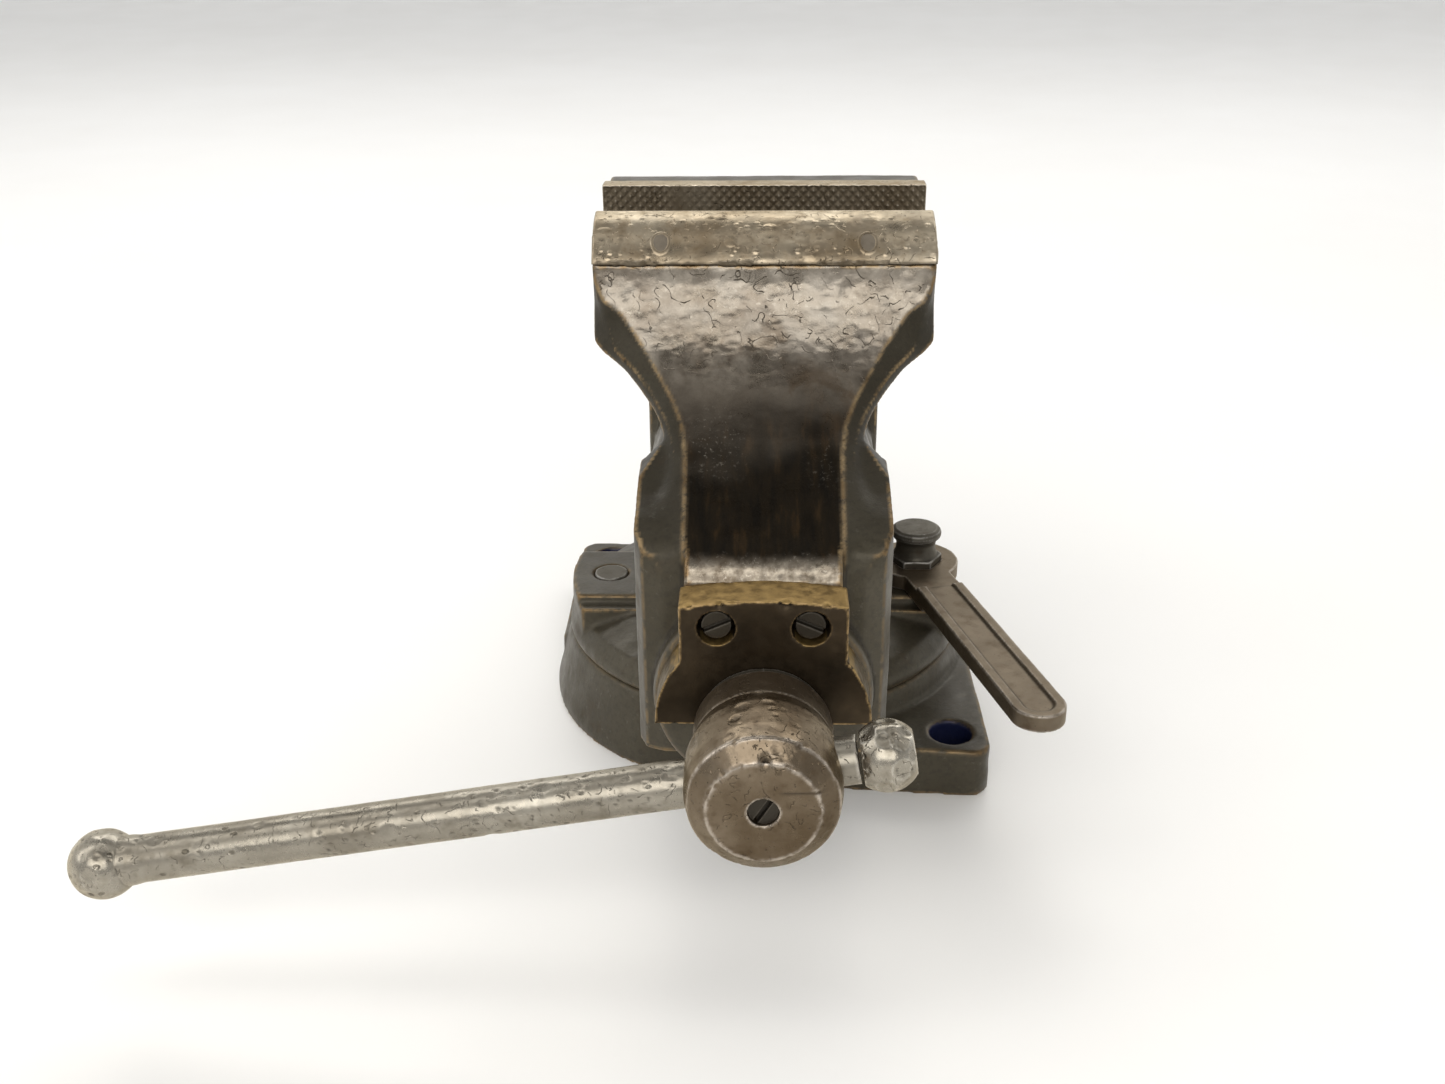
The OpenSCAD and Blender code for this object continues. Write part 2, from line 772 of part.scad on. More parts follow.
swivel_base();
static_body();
fixed_jaw_plate();
fixed_jaw_pins();
spindle_nut();
nut_bolts();
fixed_clamp_stud();
fixed_clamp_washer();
moving_jaw();
moving_jaw_plate();
moving_jaw_pins();
thrust_plate();
thrust_plate_screws();
spindle();
thrust_washer();
detent_screw();
detent_spring();
detent_plug();
end_washer();
end_pin();
handle_rod();
handle_ball();
clamp_bolt();
clamp_lever();
clamp_shoe();
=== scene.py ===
"""Looks of the swivel-base bench vise: detailed surfaces over the CAD pieces, materials, light and camera.

Lengths are in millimetres inside this script, and are turned into metres where a mesh is made.
"""

import json
import math

import bpy
import numpy as np
from mathutils import Matrix, Vector


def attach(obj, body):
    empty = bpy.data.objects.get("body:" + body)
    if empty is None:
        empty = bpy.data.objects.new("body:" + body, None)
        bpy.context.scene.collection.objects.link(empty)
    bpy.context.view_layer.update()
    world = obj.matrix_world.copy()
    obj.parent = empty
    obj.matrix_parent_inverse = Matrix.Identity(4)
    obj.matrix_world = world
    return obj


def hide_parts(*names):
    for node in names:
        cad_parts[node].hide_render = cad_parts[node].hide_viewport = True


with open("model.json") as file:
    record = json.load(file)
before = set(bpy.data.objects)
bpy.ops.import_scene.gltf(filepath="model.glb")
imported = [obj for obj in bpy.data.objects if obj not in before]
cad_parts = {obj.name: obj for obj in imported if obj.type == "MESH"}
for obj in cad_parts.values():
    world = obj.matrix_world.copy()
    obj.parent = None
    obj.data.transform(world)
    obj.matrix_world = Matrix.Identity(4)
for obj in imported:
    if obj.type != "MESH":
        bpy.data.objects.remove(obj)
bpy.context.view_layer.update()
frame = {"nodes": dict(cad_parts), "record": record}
nodes = frame["nodes"]
body_of_node = {n: b for b, ns in frame["record"]["behaviour"]["bodies"].items() for n in ns}

MM = 0.001
# Sizes of the CAD model that the surfaces here follow, in mm.
JAW_HALF = 50.8
JAW_TOP = 185.5
PLATE_BOTTOM = 161.0
FIXED_FACE_Y = -17.5
FIXED_SEAT_Y = -10.0
MOVING_FACE_Y = -38.5
MOVING_TOP = JAW_TOP - 3.3
SEAM_Z = JAW_TOP - 15
PIN_X, PIN_Y, PIN_R = 30.5, -53.0, 2.4
AXIS_Z = 68.0
THREAD_R, LEAD = 8.0, 5.08
HEAD_FRONT_Y, HEAD_BACK_Y = -187.0, -146.0
HEAD_FACE_R, HEAD_SHOULDER_R = 14.3, 19.3
HEAD_SHOULDER_Y = -183.0
COLLAR_LINE_Y = -160.6
THRUST_FRONT_Y, THRUST_TOP = -146.0, 104.3
THRUST_SCREW_X, THRUST_SCREW_Z = 12.4, 97.0
ROD_Y, ROD_R = -169.0, 6.3
BALL_R = 9.3
HANDLE_TILT = math.radians(9.8)
LONG_END, SHORT_END = 177.5, 31.5
HOLE_X, HOLE_Y = 61.87, 67.28
CLAMP_X, CLAMP_Y = 54.5, -4.0
# Half width of the ramp up the moving jaw at some heights.
RAMP = [
    (104, 21.3), (127, 22.2), (131.6, 23.4), (136, 26.2), (141, 30), (147, 34.4),
    (153, 39), (157, 42.4), (160, 47.2), (166, 49.8), (171, 50.2),
]


# ---------------------------------------------------------------- meshes

def make_object(name, points, faces):
    """Mesh object from points in mm and a list or array of faces."""
    mesh = bpy.data.meshes.new(name)
    points = np.asarray(points, float)
    mesh.vertices.add(len(points))
    mesh.vertices.foreach_set("co", (points * MM).astype(np.float32).ravel())
    counts = np.array([len(f) for f in faces], np.int32)
    mesh.loops.add(int(counts.sum()))
    mesh.loops.foreach_set("vertex_index", np.concatenate([np.asarray(f) for f in faces]).astype(np.int32))
    mesh.polygons.add(len(counts))
    mesh.polygons.foreach_set("loop_start", np.concatenate([[0], counts.cumsum()[:-1]]).astype(np.int32))
    mesh.polygons.foreach_set("use_smooth", np.ones(len(counts), bool))
    mesh.update(calc_edges=True)
    mesh.validate()
    ob = bpy.data.objects.new(name, mesh)
    bpy.context.scene.collection.objects.link(ob)
    return ob


def tube_faces(rings, around):
    """Quads of a grid of rings; a ring's points run round the tube, and both ends are capped."""
    i = np.arange(rings - 1)[:, None] * around
    k = np.arange(around)[None, :]
    nxt = (k + 1) % around
    quads = np.stack([i + k, i + nxt, i + around + nxt, i + around + k], -1).reshape(-1, 4)
    first, last = np.arange(around)[::-1], (rings - 1) * around + np.arange(around)
    return [*quads, first, last]


def spaced(outline, step):
    """Points along an open outline of corners, no further apart than step."""
    out = []
    for a, b in zip(outline[:-1], outline[1:]):
        a, b = np.array(a, float), np.array(b, float)
        n = max(1, int(math.ceil(np.linalg.norm(b - a) / step)))
        out += [a + (b - a) * t for t in np.arange(n) / n]
    return np.array(out + [np.array(outline[-1], float)])


def rounded(outline, radius, arc=5, closed=False):
    """Outline with each corner rounded, by radius or as far as its sides allow."""
    pts = [np.array(p[:2], float) for p in outline]
    radii = [p[2] if len(p) > 2 else radius for p in outline]
    n, out = len(pts), []
    for i, p in enumerate(pts):
        if not closed and i in (0, n - 1):
            out.append(p)
            continue
        a, b = pts[i - 1] - p, pts[(i + 1) % n] - p
        la, lb = np.linalg.norm(a), np.linalg.norm(b)
        turn = math.acos(np.clip(a @ b / (la * lb), -1, 1))
        cut = min(radii[i] / math.tan(turn / 2), 0.45 * la, 0.45 * lb)
        if cut < 1e-3:
            out.append(p)
            continue
        start, end = p + a / la * cut, p + b / lb * cut
        for t in np.linspace(0, 1, arc):
            out.append((1 - t) ** 2 * start + 2 * t * (1 - t) * p + t * t * end)
    return np.array(out)


# ---------------------------------------------------------------- noise

def hashed(ix, iy, iz, seed):
    """Repeatable value from 0 to 1 for each whole-number cell."""
    with np.errstate(over="ignore"):
        n = ix.astype(np.uint32) * np.uint32(73856093) ^ iy.astype(np.uint32) * np.uint32(19349663)
        n = n ^ iz.astype(np.uint32) * np.uint32(83492791) ^ np.uint32(seed * 7919 + 13)
        for _ in range(2):
            n = (n ^ (n >> np.uint32(15))) * np.uint32(2246822519)
            n = n ^ (n >> np.uint32(13))
    return (n & np.uint32(0xFFFF)).astype(np.float64) / 65535.0


def smooth_noise(p, size, seed):
    """Noise from -1 to 1 whose features are about that many mm across."""
    q = p / size + 100.5 + seed * 3.17
    i = np.floor(q).astype(np.int64)
    f = q - i
    f = f * f * (3 - 2 * f)
    total = 0
    for dx in (0, 1):
        for dy in (0, 1):
            for dz in (0, 1):
                w = (f[:, 0] if dx else 1 - f[:, 0]) * (f[:, 1] if dy else 1 - f[:, 1])
                w = w * (f[:, 2] if dz else 1 - f[:, 2])
                total = total + w * hashed(i[:, 0] + dx, i[:, 1] + dy, i[:, 2] + dz, seed)
    return 2 * total - 1


def rough_noise(p, size, seed, octaves=3):
    """Sum of finer and finer smooth noise, about -1 to 1."""
    total, weight = 0, 0
    for k in range(octaves):
        total = total + smooth_noise(p, size / 2**k, seed + k) * 0.5**k
        weight += 0.5**k
    return total / weight


def spots(p, cell, seed, share, low=0.25, high=0.5):
    """Round dips scattered one to a cell at most: 1 in the middle of a dip and 0 outside it."""
    q = p / cell + 50.3
    i = np.floor(q).astype(np.int64)
    best = np.zeros(len(p))
    for dx in (-1, 0, 1):
        for dy in (-1, 0, 1):
            for dz in (-1, 0, 1):
                c = i + np.array([dx, dy, dz])
                h = [hashed(c[:, 0], c[:, 1], c[:, 2], seed + k) for k in range(5)]
                centre = c + np.stack(h[:3], -1)
                r = np.where(h[3] < share, low + (high - low) * h[4], 1e-3)
                d2 = ((q - centre) ** 2).sum(1) / r**2
                best = np.maximum(best, np.clip(1 - d2, 0, 1) * np.minimum(1, r / high + 0.3))
    return best


def fade(x, low, high):
    """0 below low, 1 above high and smooth in between."""
    t = np.clip((x - low) / (high - low), 0, 1)
    return t * t * (3 - 2 * t)


# ---------------------------------------------------------------- surfaces that can be worn

class Skin:
    """Points, normals and edges of a mesh object, in mm, to push about and to write values on.

    Points are changed in place, so a column taken from co follows every push.
    """

    def __init__(self, ob):
        self.ob, self.mesh = ob, ob.data
        n = len(self.mesh.vertices)
        self.co = np.empty(n * 3, np.float32)
        self.mesh.vertices.foreach_get("co", self.co)
        self.co = self.co.reshape(-1, 3).astype(float) / MM
        e = np.empty(len(self.mesh.edges) * 2, np.int32)
        self.mesh.edges.foreach_get("vertices", e)
        self.a, self.b = e.reshape(-1, 2).T
        self.degree = np.maximum(np.bincount(self.a, minlength=n) + np.bincount(self.b, minlength=n), 1)
        self.refresh()

    def refresh(self):
        """Writes the points back and reads the normals again."""
        self.mesh.vertices.foreach_set("co", (self.co * MM).astype(np.float32).ravel())
        self.mesh.update()
        self.normal = np.empty(len(self.co) * 3, np.float32)
        self.mesh.vertices.foreach_get("normal", self.normal)
        self.normal = self.normal.reshape(-1, 3).astype(float)

    def average(self, value):
        """Each vertex's value replaced by its neighbours' mean."""
        n = len(self.co)
        total = np.bincount(self.a, value[self.b], n) + np.bincount(self.b, value[self.a], n)
        return total / self.degree

    def blur(self, value, times):
        for _ in range(times):
            value = 0.5 * value + 0.5 * self.average(value)
        return value

    def relax(self, weight, times):
        """Smooths the shape where weight is above 0."""
        for _ in range(times):
            mean = np.stack([self.average(self.co[:, k]) for k in range(3)], 1)
            self.co += (mean - self.co) * (0.6 * weight)[:, None]
        self.refresh()

    def bulge(self, times=2):
        """How far each place stands out: above 0 on outer edges and below 0 in hollows."""
        d = self.co[self.b] - self.co[self.a]
        l2 = np.maximum((d * d).sum(1), 1e-9)
        n = len(self.co)
        k = np.bincount(self.a, -(self.normal[self.a] * d).sum(1) / l2, n)
        k += np.bincount(self.b, (self.normal[self.b] * d).sum(1) / l2, n)
        return self.blur(k / self.degree, times)

    def push(self, amount):
        """Moves the surface outwards by amount, in mm."""
        self.co += self.normal * np.asarray(amount)[:, None]
        self.refresh()

    def write(self, name, value):
        """Stores a value from 0 to 1 that a material can read."""
        layer = self.mesh.attributes.get(name) or self.mesh.attributes.new(name, "FLOAT", "POINT")
        layer.data.foreach_set("value", np.clip(value, 0, 1).astype(np.float32))


def even_copy(node, voxel, rounds):
    """Copy of a CAD node as an even mesh of small faces with its edges rounded a little."""
    ob = bpy.data.objects.new(node + "_surface", nodes[node].data.copy())
    bpy.context.scene.collection.objects.link(ob)
    even = ob.modifiers.new("even", "REMESH")
    even.mode, even.voxel_size, even.use_smooth_shade = "VOXEL", voxel * MM, True
    soft = ob.modifiers.new("soft", "SMOOTH")
    soft.factor, soft.iterations = 0.5, rounds
    bpy.context.view_layer.update()
    shape = ob.evaluated_get(bpy.context.evaluated_depsgraph_get())
    mesh = bpy.data.meshes.new_from_object(shape)
    ob.modifiers.clear()
    ob.data = mesh
    mesh.name = ob.name
    return Skin(ob)


def stand_in(ob, node, material):
    """Hands the piece over in place of the CAD node, on its body."""
    ob.data.materials.clear()
    ob.data.materials.append(material)
    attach(ob, body_of_node[node])
    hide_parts(node)


# ---------------------------------------------------------------- materials

class Paint:
    """Short way to build a material's nodes. Sizes are in mm on the object's own surface."""

    def __init__(self, name):
        self.material = bpy.data.materials.new(name)
        self.material.use_nodes = True
        self.tree = self.material.node_tree
        self.shader = self.tree.nodes["Principled BSDF"]
        place = self.tree.nodes.new("ShaderNodeTexCoord")
        self.place = place.outputs["Object"]

    def put(self, socket, value):
        if isinstance(value, bpy.types.NodeSocket):
            self.tree.links.new(value, socket)
        elif hasattr(value, "__len__") and len(value) == 3 and socket.type == "RGBA":
            socket.default_value = (*value, 1)
        else:
            socket.default_value = value

    def noise(self, size, detail=4, rough=0.55, twist=0.0, stretch=(1, 1, 1), shift=0.0):
        """Noise from 0 to 1 whose features are that many mm across."""
        move = self.tree.nodes.new("ShaderNodeMapping")
        self.put(move.inputs["Vector"], self.place)
        move.inputs["Location"].default_value = (shift, shift * 1.7, shift * 0.6)
        move.inputs["Scale"].default_value = [1 / (size * MM * s) for s in stretch]
        n = self.tree.nodes.new("ShaderNodeTexNoise")
        self.put(n.inputs["Vector"], move.outputs["Vector"])
        n.inputs["Scale"].default_value = 1.0
        n.inputs["Detail"].default_value = detail
        n.inputs["Roughness"].default_value = rough
        n.inputs["Distortion"].default_value = twist
        return n.outputs["Fac"]

    def cells(self, size, shift=0.0, stretch=(1, 1, 1)):
        """Distance to the nearest of scattered points, for pits that many mm apart."""
        move = self.tree.nodes.new("ShaderNodeMapping")
        self.put(move.inputs["Vector"], self.place)
        move.inputs["Location"].default_value = (shift, shift, shift)
        move.inputs["Scale"].default_value = [1 / (size * MM * s) for s in stretch]
        n = self.tree.nodes.new("ShaderNodeTexVoronoi")
        self.put(n.inputs["Vector"], move.outputs["Vector"])
        n.inputs["Scale"].default_value = 1.0
        return n.outputs["Distance"]

    def scratches(self, size, width, shift, share):
        """Short thin curved lines, 1 in the middle of a line and 0 beside it."""
        wave = self.noise(size, 1.5, 0.5, shift=shift)
        off = self.math("ABSOLUTE", self.math("SUBTRACT", wave, 0.5))
        part = self.step(self.noise(size * 0.7, 1, 0.5, shift=shift + 40), share, share + 0.06)
        return self.times(self.step(off, 0.0, width, 1.0, 0.0), part)

    def value(self, name):
        """A value written on the mesh by Skin.write."""
        n = self.tree.nodes.new("ShaderNodeAttribute")
        n.attribute_name = name
        return n.outputs["Fac"]

    def math(self, kind, a, b=0.0, clamp=False):
        n = self.tree.nodes.new("ShaderNodeMath")
        n.operation, n.use_clamp = kind, clamp
        self.put(n.inputs[0], a)
        self.put(n.inputs[1], b)
        return n.outputs[0]

    def times(self, first, *others):
        """Product of some values."""
        for other in others:
            first = self.math("MULTIPLY", first, other)
        return first

    def plus(self, a, b):
        return self.math("ADD", a, b, clamp=True)

    def minus(self, a, b):
        return self.math("SUBTRACT", a, b)

    def most(self, first, *others):
        """Largest of some values."""
        for other in others:
            first = self.math("MAXIMUM", first, other)
        return first

    def step(self, value, low, high, to_low=0.0, to_high=1.0):
        """Value mapped smoothly from low..high to to_low..to_high."""
        n = self.tree.nodes.new("ShaderNodeMapRange")
        n.interpolation_type = "SMOOTHSTEP"
        ends = (("From Min", low), ("From Max", high), ("To Min", to_low), ("To Max", to_high))
        for key, v in (("Value", value), *ends):
            self.put(n.inputs[key], v)
        return n.outputs["Result"]

    def mix(self, share, a, b):
        n = self.tree.nodes.new("ShaderNodeMix")
        n.data_type = "RGBA"
        self.put(n.inputs[0], share)
        self.put(n.inputs[6], a)
        self.put(n.inputs[7], b)
        return n.outputs[2]

    def ramp(self, value, *stops):
        n = self.tree.nodes.new("ShaderNodeValToRGB")
        self.put(n.inputs["Fac"], value)
        stops = list(stops)
        while len(n.color_ramp.elements) < len(stops):
            n.color_ramp.elements.new(0.5)
        for e, (pos, colour) in zip(n.color_ramp.elements, stops):
            e.position, e.color = pos, (*colour, 1)
        return n.outputs["Color"]

    def finish(self, colour, metal, rough, *bumps, specular=0.5):
        """Sets the surface. Each bump is (height, depth in mm, strength)."""
        s = self.shader.inputs
        self.put(s["Specular IOR Level"], specular)
        self.put(s["Specular Tint"], (1.0, 0.93, 0.80))
        self.put(s["Base Color"], colour)
        self.put(s["Metallic"], metal)
        self.put(s["Roughness"], rough)
        last = None
        for height, depth, strength in bumps:
            n = self.tree.nodes.new("ShaderNodeBump")
            n.inputs["Strength"].default_value = strength
            n.inputs["Distance"].default_value = depth * MM
            self.put(n.inputs["Height"], height)
            if last is not None:
                self.put(n.inputs["Normal"], last)
            last = n.outputs["Normal"]
        if last is not None:
            self.put(s["Normal"], last)
        return self.material


def old_paint(p, mid, fine):
    """Colour of dark paint, browned here and there and speckled dark and pale."""
    wide = p.noise(38, 5, 0.6)
    low, middle, high = (0.040, 0.034, 0.022), (0.056, 0.048, 0.032), (0.076, 0.067, 0.046)
    colour = p.ramp(wide, (0.3, low), (0.5, middle), (0.72, high))
    colour = p.mix(p.step(mid, 0.55, 0.72, 0, 0.35), colour, (0.060, 0.040, 0.023))
    colour = p.mix(p.step(fine, 0.45, 0.68, 0, 0.45), colour, (0.026, 0.023, 0.018))
    return p.mix(p.step(p.noise(2.6, 4, 0.7, shift=13), 0.60, 0.70, 0, 0.5), colour, (0.115, 0.105, 0.085))


def bare_iron(p, mid, high, dark):
    """Colour of the ramp: grey iron with brown stains, black low down with old oil and painted shade."""
    low = p.ramp(mid, (0.3, (0.07, 0.055, 0.04)), (0.5, (0.10, 0.083, 0.065)), (0.75, (0.15, 0.128, 0.102)))
    up = p.ramp(mid, (0.3, (0.17, 0.145, 0.115)), (0.5, (0.27, 0.24, 0.20)), (0.75, (0.40, 0.365, 0.315)))
    colour = p.mix(high, low, up)
    stain = p.step(p.noise(19, 5, 0.6, twist=0.6, shift=21), 0.50, 0.66, 0, 0.75)
    stain = p.times(stain, p.minus(1.0, p.times(high, 0.55)))
    colour = p.mix(stain, colour, (0.085, 0.056, 0.032))
    streak = p.noise(6, 4, 0.6, stretch=(0.6, 3, 3), shift=8)
    # Near-black colours of the low ramp: old oil, made darker still as painted shade for the dark reflection
    # there.
    thick, thin, dry = (0.004, 0.003, 0.002), (0.009, 0.006, 0.003), (0.030, 0.017, 0.007)
    return p.mix(dark, colour, p.ramp(streak, (0.35, thick), (0.55, thin), (0.75, dry)))


def casting_material():
    """Old dark paint over cast iron, rubbed at the edges, with bare oily metal up the ramp of the jaw, black
    low down with oil and painted shade, and painted glints.
    """
    p = Paint("old_painted_iron")
    mid, fine = p.noise(9, 5, 0.6, shift=3), p.noise(1.6, 4, 0.6, shift=7)
    grain = p.noise(0.55, 3, 0.6, shift=2)
    ramp, dark, bare, high, hollow = [p.value(name) for name in ("ramp", "dark", "bare", "high", "hollow")]
    colour = p.mix(ramp, old_paint(p, mid, fine), bare_iron(p, mid, high, dark))
    # Painted glints: bright specks of highlight put into the colour where the mesh asks for them.
    glint = p.times(p.step(p.noise(1.3, 5, 0.75, shift=31), 0.56, 0.66), p.value("glint"))
    colour = p.mix(glint, colour, (0.42, 0.385, 0.33))
    cuts = p.times(p.most(p.scratches(8, 0.008, 51, 0.52), p.scratches(5, 0.009, 57, 0.54)), ramp, high)
    colour = p.mix(p.times(cuts, 0.6), colour, (0.06, 0.045, 0.03))
    colour = p.mix(p.times(p.value("shade"), 0.6), colour, (0.012, 0.010, 0.007))
    bright = p.ramp(p.noise(3, 4, 0.65, shift=11), (0.35, (0.09, 0.072, 0.052)), (0.65, (0.36, 0.32, 0.26)))
    colour = p.mix(bare, colour, bright)
    worn = p.times(p.value("edge"), p.step(p.noise(3.5, 5, 0.65, shift=5), 0.34, 0.54))
    colour = p.mix(worn, colour, p.ramp(mid, (0.35, (0.15, 0.095, 0.045)), (0.7, (0.32, 0.235, 0.130))))
    colour = p.mix(p.value("blue"), colour, (0.010, 0.014, 0.050))
    colour = p.mix(p.times(hollow, 0.8), colour, (0.010, 0.008, 0.006))
    shine = p.times(ramp, p.minus(0.82, p.times(dark, 0.82)))
    metal = p.most(shine, 0.10, p.times(p.most(bare, worn), 0.85))
    rough = p.minus(p.step(mid, 0.3, 0.7, 0.34, 0.50), p.times(ramp, 0.10))
    rough = p.plus(rough, p.times(hollow, 0.25))
    specular = p.minus(0.5, p.most(p.times(dark, 0.41), p.times(p.value("shade"), 0.25)))
    bumps = (mid, 0.25, 0.22), (fine, 0.15, 0.5), (grain, 0.06, 0.6), (cuts, -0.3, 1.0)
    return p.finish(colour, metal, rough, *bumps, specular=specular)


def steel_material(name, dark, light, spot, gloss, brush=(1, 1, 1), metal=0.95, cut=0.0, knock=0.0, rub=0.18):
    """Bare steel with a cloudy tint, bright edges, dark pits and stains, and painted shade where a mesh asks
    for it; gloss is its least and most roughness.
    """
    p = Paint(name)
    cloud, mid = p.noise(22, 5, 0.6), p.noise(5, 5, 0.6, shift=2)
    colour = p.ramp(cloud, (0.3, dark), (0.7, light))
    colour = p.mix(p.step(mid, 0.5, 0.75, 0, 0.55), colour, spot)
    worn = p.times(p.value("edge"), p.step(p.noise(3, 4, 0.65, shift=17), 0.35, 0.6, 0.25, 1.0))
    colour = p.mix(worn, colour, [min(1, c * 1.3 + rub) for c in light])
    dark_marks_and_shade = p.most(p.value("dark_marks_and_shade"), p.step(p.cells(2.2, 4), 0.02, 0.16, 0.8, 0.0), p.value("hollow"))
    # Darker for pits, stains and painted shade marked on the mesh.
    colour = p.mix(p.times(dark_marks_and_shade, 0.85), colour, [c * 0.22 for c in spot])
    streaks = p.noise(0.9, 3, 0.6, stretch=brush, shift=9)
    rough = p.plus(p.step(mid, 0.3, 0.7, *gloss), p.times(dark_marks_and_shade, 0.25))
    rough = p.plus(rough, p.times(p.minus(streaks, 0.5), 0.12))
    bumps = [(streaks, 0.03, 0.4), (mid, 0.12, 0.3), (p.noise(0.8, 4, 0.65, shift=5), 0.06, 0.45)]
    if cut:
        cuts = p.most(p.scratches(6, 0.015, 61, 0.55), p.scratches(3.6, 0.018, 67, 0.55))
        colour = p.mix(p.times(cuts, cut), colour, [c * 0.35 for c in spot])
        bumps.append((cuts, -0.2, 0.8))
    if knock:
        marks = p.step(p.cells(3.4, 11, (1.5, 1, 1)), 0.10, 0.24, 1.0, 0.0)
        marks = p.times(marks, p.step(p.noise(6, 2, 0.5, shift=71), 0.5, 0.56))
        colour = p.mix(p.times(marks, knock), colour, [c * 0.5 for c in spot])
        bumps.append((marks, -0.35, 0.9))
    return p.finish(colour, p.minus(metal, p.times(dark_marks_and_shade, 0.5)), rough, *bumps)


def bronze_material():
    """Aged bronze: dark brown on its face, golden on its rubbed edges and on its top, the top's gold partly
    rubbed bronze and partly painted light.
    """
    p = Paint("aged_bronze")
    cloud, mid, hollow = p.noise(14, 5, 0.6), p.noise(3.2, 5, 0.6, shift=4), p.value("hollow")
    dark = p.ramp(cloud, (0.3, (0.030, 0.022, 0.014)), (0.7, (0.060, 0.043, 0.026)))
    gold = p.ramp(mid, (0.3, (0.185, 0.118, 0.042)), (0.7, (0.36, 0.245, 0.095)))
    # Upward faces golden: partly rubbed bronze, partly painted light from above.
    top = p.step(p.value("top"), 0.2, 0.8)
    colour = p.mix(p.times(top, p.step(mid, 0.2, 0.5, 0.7, 1.0)), dark, gold)
    edge = p.times(p.value("edge"), p.step(p.noise(2.2, 4, 0.6, shift=6), 0.35, 0.62, 0.1, 0.8))
    colour = p.mix(edge, colour, (0.44, 0.30, 0.14))
    colour = p.mix(p.times(hollow, 0.85), colour, (0.014, 0.010, 0.007))
    rough = p.plus(p.step(mid, 0.3, 0.7, 0.34, 0.50), p.times(hollow, 0.3))
    return p.finish(colour, 0.85, rough, (mid, 0.15, 0.3), (p.noise(0.8, 3, 0.6), 0.04, 0.35))


IRON = casting_material()
JAW = steel_material(
    "jaw_steel", (0.230, 0.175, 0.110), (0.48, 0.42, 0.325), (0.130, 0.086, 0.040),
    (0.26, 0.42), brush=(8, 1, 1), cut=0.5,
)
HEAD = steel_material(
    "head_steel", (0.100, 0.072, 0.044), (0.205, 0.163, 0.116), (0.070, 0.044, 0.023),
    (0.25, 0.40), cut=0.25,
)
BRIGHT = steel_material(
    "bright_steel", (0.24, 0.215, 0.172), (0.43, 0.40, 0.34), (0.15, 0.128, 0.092),
    (0.20, 0.35), cut=0.3, knock=0.6,
)
DARK = steel_material(
    "dark_steel", (0.045, 0.040, 0.031), (0.085, 0.078, 0.063), (0.045, 0.033, 0.021),
    (0.36, 0.52), metal=0.5,
)
PIN = steel_material(
    "pin_steel", (0.13, 0.108, 0.082), (0.20, 0.172, 0.135), (0.09, 0.068, 0.045),
    (0.42, 0.55), metal=0.25, rub=0.08,
)
SCREW = steel_material(
    "grimy_screw", (0.014, 0.011, 0.008), (0.034, 0.028, 0.020), (0.020, 0.014, 0.008),
    (0.34, 0.5), metal=0.4, rub=0.02,
)
LEVER = steel_material(
    "lever_steel", (0.095, 0.072, 0.048), (0.175, 0.140, 0.100), (0.075, 0.048, 0.026),
    (0.34, 0.48), metal=0.75,
)
BRONZE = bronze_material()


# ---------------------------------------------------------------- castings

def mark_wear(skin, edge_low=0.06, edge_high=0.22, spread=2):
    """Writes where edges are rubbed and where grime gathers."""
    k = skin.bulge(spread)
    skin.write("edge", fade(k, edge_low, edge_high))
    skin.write("hollow", fade(-k, edge_low, edge_high))
    return k


def hump(offset, width):
    """1 where offset is 0, falling away on both sides over about that width."""
    return np.exp(-((offset / width) ** 2))


def ramp_relief(co, ramp, upper, lip):
    """Heights in mm of the waves all over the moving jaw and of the knocks and creases on its ramp."""
    waves = 0.20 * rough_noise(co, 26, 3) * (1 - 0.5 * ramp) + 0.10 * rough_noise(co, 7, 9) * (1 - 0.8 * ramp)
    dents = spots(co, 7, 21, 0.8) * ramp * (0.1 + 0.5 * upper)
    small = spots(co, 3.1, 31, 0.85, 0.3, 0.55) * ramp * np.maximum(0.55 * upper, lip)
    creases = (1 - np.abs(rough_noise(co * [1, 1, 1.6], 9, 33))) ** 14 * ramp * upper
    return waves - 0.45 * dents - 0.22 * small - 0.2 * creases


